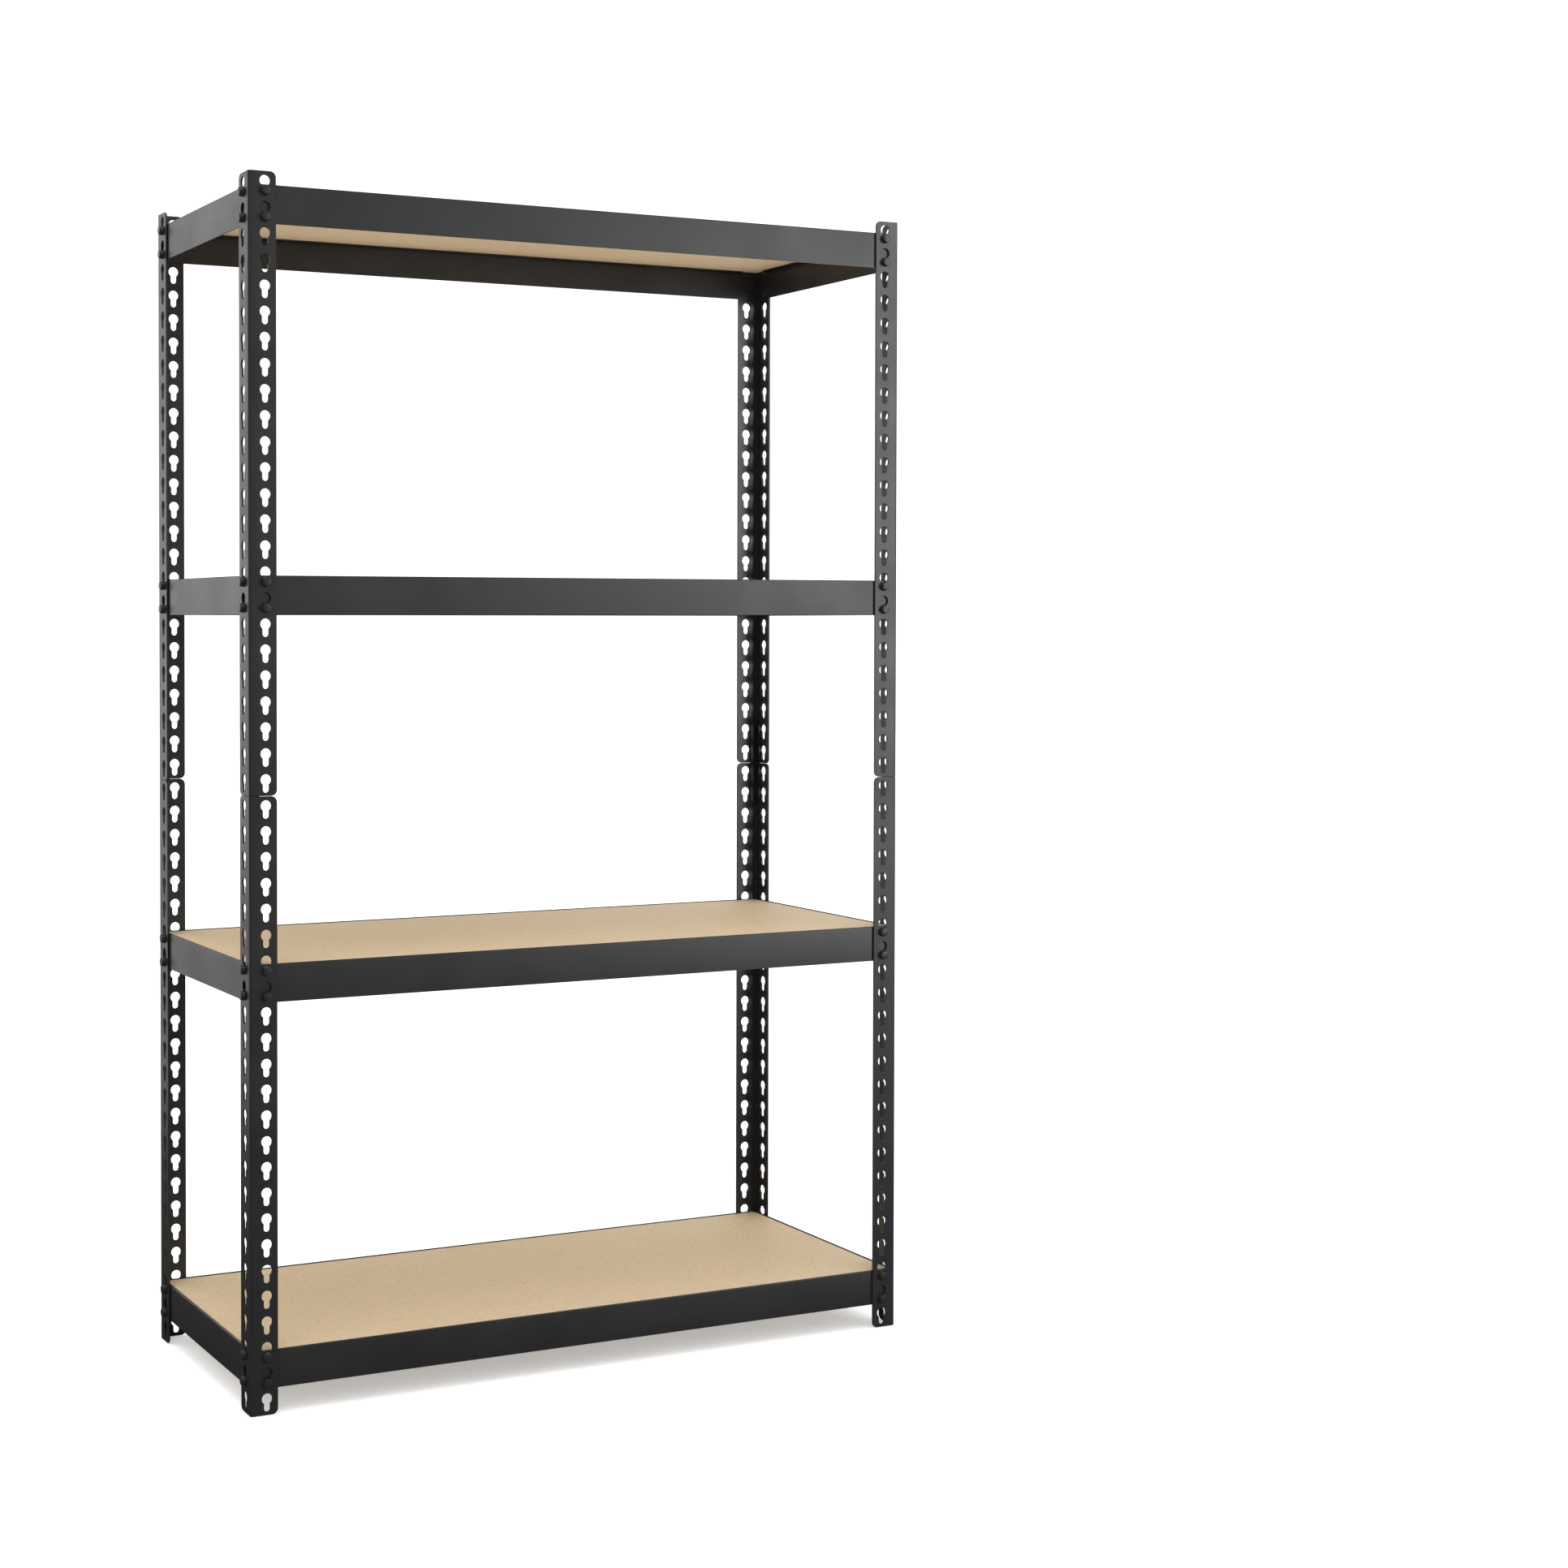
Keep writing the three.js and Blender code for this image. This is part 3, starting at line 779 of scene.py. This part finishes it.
long_beam = beam_mesh(2 * POST_FACE_X, "long_beam")
end_beam = beam_mesh(2 * POST_FACE_Y, "end_beam")

# %% [markdown]
# ## Sixteen beams
#
# Each level has two long beams and two end beams, turned so that their ledges face inwards. They
# ride on the level's own body. A real shelf lifts a little to come unhooked.

# %% Beams
web_x = POST_FACE_X - WEB_DEPTH
web_y = POST_FACE_Y - WEB_DEPTH
BEAM_SIDES = [
    ("front_beam", long_beam, 0, -web_y, 0),
    ("right_end_beam", end_beam, web_x, 0, 1),
    ("back_beam", long_beam, 0, web_y, 2),
    ("left_end_beam", end_beam, -web_x, 0, 3),
]
for level in LEVELS:
    for side, pattern, x, y, turns in BEAM_SIDES:
        node = f"{level}_{side}"
        foot = Vector((x, y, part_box(node)[0].z))
        piece = placed_copy(pattern, f"{node}_steel", foot, turns)
        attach(piece, f"{level}_shelf_frame")
        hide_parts(node)
print("beams:", len(LEVELS) * len(BEAM_SIDES))

# %% [markdown]
# ## Rivets
#
# Four rivets are set in each beam. Outside the post a thick flat head locks over the slot. Its side
# leans in a little, so that it finds the round head of the keyhole easily. The shank passes
# through the slot and the web, with a low upset end inside. The profile is drawn once, with a
# rounded rim, and spun about its axis. It repeats 64 times, so it has few faces.

# %% One rivet
RIVET_SEAT_RADIUS = 5.0 * MM
RIVET_CROWN_RADIUS = 4.2 * MM
RIVET_HEAD_HEIGHT = 4 * MM
RIVET_RIM = 0.3 * MM
RIVET_RIM_STEPS = 3
RIVET_SHANK_RADIUS = 2.875 * MM
RIVET_TAIL_RADIUS = 4 * MM
RIVET_TAIL_TIP_RADIUS = 2.8 * MM
RIVET_TAIL_HEIGHT = 1.1 * MM
RIVET_SIDES = 24
CAP_NORMAL = 0.999


def rivet_object():
    """A rivet along Z, with the outside of the beam's web at z = 0 and its head upwards."""
    seat = FIT_GAP + POST_SHEET + FIT_GAP
    top = seat + RIVET_HEAD_HEIGHT
    back = -BEAM_SHEET
    profile = [
        (0, top),
        *arc(RIVET_CROWN_RADIUS - RIVET_RIM, top - RIVET_RIM, RIVET_RIM,
             math.pi / 2, 0, RIVET_RIM_STEPS),
        (RIVET_SEAT_RADIUS, seat),
        (RIVET_SHANK_RADIUS, seat),
        (RIVET_SHANK_RADIUS, back),
        (RIVET_TAIL_RADIUS, back),
        (RIVET_TAIL_TIP_RADIUS, back - RIVET_TAIL_HEIGHT),
        (0, back - RIVET_TAIL_HEIGHT),
    ]
    shape = bmesh.new()
    points = [shape.verts.new((radius, 0, height)) for radius, height in profile]
    edges = [shape.edges.new(pair) for pair in zip(points, points[1:])]
    bmesh.ops.spin(shape, geom=points + edges, axis=(0, 0, 1), cent=(0, 0, 0),
                   steps=RIVET_SIDES, angle=2 * math.pi)
    bmesh.ops.remove_doubles(shape, verts=shape.verts, dist=WELD)
    bmesh.ops.recalc_face_normals(shape, faces=shape.faces)
    mesh = bpy.data.meshes.new("rivet")
    shape.to_mesh(mesh)
    shape.free()
    round_faces = [abs(face.normal.z) < CAP_NORMAL for face in mesh.polygons]
    mesh.polygons.foreach_set("use_smooth", round_faces)
    mesh.set_sharp_from_angle(angle=SMOOTH_ANGLE)
    return add_object("rivet", mesh)


rivet = rivet_object()
print("rivet has", len(rivet.data.polygons), "faces")

# %% [markdown]
# ## Setting the rivets
#
# The host mesh has one loose point for each rivet of a level, in the outside face of the web, and
# a stored direction that points away from the beam. The tree puts a rivet on every point, aligns
# it with that direction, makes the copies real and gives them their paint.


# %% Geometry tree: set rivets
def make_rivet_tree():
    tree, given, result = new_group(
        "Set rivets", "GeometryNodeTree",
        {"Places": ("NodeSocketGeometry", None), "Rivet": ("NodeSocketObject", None),
         "Paint": ("NodeSocketMaterial", None)},
        {"Rivets": "NodeSocketGeometry"})
    pattern = add_node(tree, "GeometryNodeObjectInfo", {"Object": given["Rivet"]})
    outward = add_node(tree, "GeometryNodeInputNamedAttribute", {"Name": "outward"},
                       data_type="FLOAT_VECTOR")
    turn = add_node(tree, "FunctionNodeAlignRotationToVector",
                    {"Vector": outward.outputs["Attribute"]}, axis="Z")
    placed = add_node(tree, "GeometryNodeInstanceOnPoints",
                      {"Points": given["Places"], "Instance": pattern.outputs["Geometry"],
                       "Rotation": turn.outputs[0]})
    real = add_node(tree, "GeometryNodeRealizeInstances", {"Geometry": placed.outputs[0]})
    painted = add_node(tree, "GeometryNodeSetMaterial",
                       {"Geometry": real.outputs[0], "Material": given["Paint"]})
    tree.links.new(painted.outputs[0], result["Rivets"])
    return tree


RIVET_TREE = make_rivet_tree()
print(RIVET_TREE.name, "has", len(RIVET_TREE.nodes), "nodes")


# %% Rivets
def rivet_places(level):
    """Points in the webs' outside faces, with the outward direction at each."""
    beam_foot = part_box(f"{level}_deck")[0].z - FIT_GAP - LEDGE_TOP
    low_rivet = beam_foot + (BEAM_HEIGHT - KEYHOLE_PITCH) / 2
    along_x = POST_FACE_X - KEYHOLE_LINE
    along_y = POST_FACE_Y - KEYHOLE_LINE
    spots = []
    for height in (low_rivet, low_rivet + KEYHOLE_PITCH):
        for a in (-1, 1):
            for b in (-1, 1):
                spots.append(((a * along_x, b * web_y, height), (0, b, 0)))
                spots.append(((a * web_x, b * along_y, height), (a, 0, 0)))
    mesh = bpy.data.meshes.new("rivet_places")
    mesh.from_pydata([point for point, _ in spots], [], [])
    outward = mesh.attributes.new("outward", "FLOAT_VECTOR", "POINT")
    outward.data.foreach_set("vector", [c for _, direction in spots for c in direction])
    return add_object(f"{level}_rivet_places", mesh)


for level in LEVELS:
    name = f"{level}_rivets"
    mesh = grow(rivet_places(level), RIVET_TREE, name, Rivet=rivet, Paint=BEAM_PAINT)
    piece = add_object(name, mesh)
    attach(piece, f"{level}_shelf_frame")
    print(name, len(mesh.polygons), "faces")
bpy.data.objects.remove(rivet)

# %% [markdown]
# ## Decks
#
# A deck is a board sawn from a big sheet and laid in the ring of beams, with its top a little below
# their edges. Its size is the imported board's. The saw leaves sharp corners that crumble at once,
# so the edges are eased by a few tenths of a millimetre.


# %% Decks
DECK_EDGE = 0.35 * MM


def board_mesh(low, high, name):
    """A board between two corners, with eased edges."""
    shape = bmesh.new()
    bmesh.ops.create_cube(shape, size=1)
    bmesh.ops.scale(shape, vec=high - low, verts=shape.verts)
    bmesh.ops.translate(shape, vec=(low + high) / 2, verts=shape.verts)
    mesh = bpy.data.meshes.new(name)
    shape.to_mesh(mesh)
    shape.free()
    mesh.materials.append(BOARD)
    ease_edges(mesh, DECK_EDGE)
    return mesh


for level in LEVELS:
    node = f"{level}_deck"
    piece = add_object(f"{node}_panel", board_mesh(*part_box(node), f"{node}_panel"))
    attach(piece, f"{level}_deck_board")
    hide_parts(node)
print("decks:", len(LEVELS))

# %% [markdown]
# ## Studio
#
# The paint is dark and satin, so its look comes from what it reflects. Tall soft lights stand where
# the faces mirror them: one behind on the left, for the end faces, with a dimmer one below it so
# that the shine fades towards the floor; one at the front on the right, for the long beams and the
# right post; and one behind on the right, for the back. They are for reflections only. A broad
# lamp overhead lights the decks, and the rest of the light is an even white room.
#
# A Light Path node lets the glossy paint see a darker room and floor, as it does when black cards
# stand around a product, while the eye sees a pale floor without end. From below the floor is
# clear, so that the undersides can be looked at.

# %% Floor and room
PALE = (0.90, 0.90, 0.90, 1)
DIM = (0.05, 0.05, 0.05, 1)
FLOOR_RADIUS = 15
FLOOR_SIDES = 64
FLOOR_DROP = 0.5 * MM


def make_floor(glow):
    """A pale disc just under the feet, which also glows a little to the camera."""
    material, tree, surface = new_material("studio floor")
    rays = tree.nodes.new("ShaderNodeLightPath")
    seen = blend_colours(tree, rays.outputs["Is Glossy Ray"], PALE, DIM)
    tree.links.new(seen, surface.inputs["Base Color"])
    eye = calculate(tree, "MULTIPLY", rays.outputs["Is Camera Ray"], glow)
    tree.links.new(eye, surface.inputs["Emission Strength"])
    below = tree.nodes.new("ShaderNodeNewGeometry").outputs["Backfacing"]
    tree.links.new(calculate(tree, "SUBTRACT", 1.0, below), surface.inputs["Alpha"])
    surface.inputs["Emission Color"].default_value = (1, 1, 1, 1)
    surface.inputs["Roughness"].default_value = 1.0
    surface.inputs["Specular IOR Level"].default_value = 0.0
    shape = bmesh.new()
    bmesh.ops.create_circle(shape, cap_ends=True, radius=FLOOR_RADIUS, segments=FLOOR_SIDES)
    mesh = bpy.data.meshes.new("studio_floor")
    shape.to_mesh(mesh)
    shape.free()
    mesh.materials.append(material)
    floor = add_object("studio_floor", mesh)
    floor.location.z = -FLOOR_DROP


def make_room(strength, in_paint):
    """An even white room, whose reflection in gloss has a strength of its own."""
    world = bpy.data.worlds.new("studio")
    world.use_nodes = True
    tree = world.node_tree
    rays = tree.nodes.new("ShaderNodeLightPath")
    level = add_node(tree, "ShaderNodeMapRange",
                     {"Value": rays.outputs["Is Glossy Ray"],
                      "To Min": strength, "To Max": in_paint})
    background = tree.nodes["Background"]
    background.inputs["Color"].default_value = (1, 1, 1, 1)
    tree.links.new(level.outputs["Result"], background.inputs["Strength"])
    bpy.context.scene.world = world


make_floor(glow=0.35)
make_room(strength=1.28, in_paint=0.31)
print("floor and room ready")


# %% Lights
def add_softbox(name, place, target, width, height, power):
    """A rectangular lamp that faces a target and isn't seen by the camera."""
    light = bpy.data.lights.new(name, "AREA")
    light.shape = "RECTANGLE"
    light.size = width
    light.size_y = height
    light.energy = power
    softbox = bpy.data.objects.new(name, light)
    softbox.location = place
    softbox.rotation_euler = (Vector(target) - Vector(place)).to_track_quat("-Z", "Y").to_euler()
    softbox.visible_camera = False
    bpy.context.collection.objects.link(softbox)
    return softbox


# Where each light stands, what it faces, its width and height in metres, and its power in watts.
REFLECTED_LIGHTS = {
    "end_face_light": ((-0.95, 1.30, 1.54), (-0.55, 0, 1.54), 0.75, 2.28, 7.3),
    "end_face_low_light": ((-0.95, 1.30, 0.2), (-0.55, 0, 0.2), 0.75, 0.4, 0.9),
    "front_right_light": ((1.9, -2.2, 1.34), (0.2, 0, 1.34), 0.9, 2.3, 37),
    "back_right_light": ((2.2, 2.6, 1.30), (0.2, 0, 1.0), 1.6, 2.4, 28),
}
DECK_LIGHT = ((-0.6, -0.8, 3.4), (0, 0, 0.6), 1.6, 1.6, 18)
for name, light_setup in REFLECTED_LIGHTS.items():
    softbox = add_softbox(name, *light_setup)
    softbox.visible_diffuse = False
add_softbox("deck_light", *DECK_LIGHT)
bpy.context.scene.view_settings.view_transform = "Standard"
print("lights:", len(REFLECTED_LIGHTS) + 1)
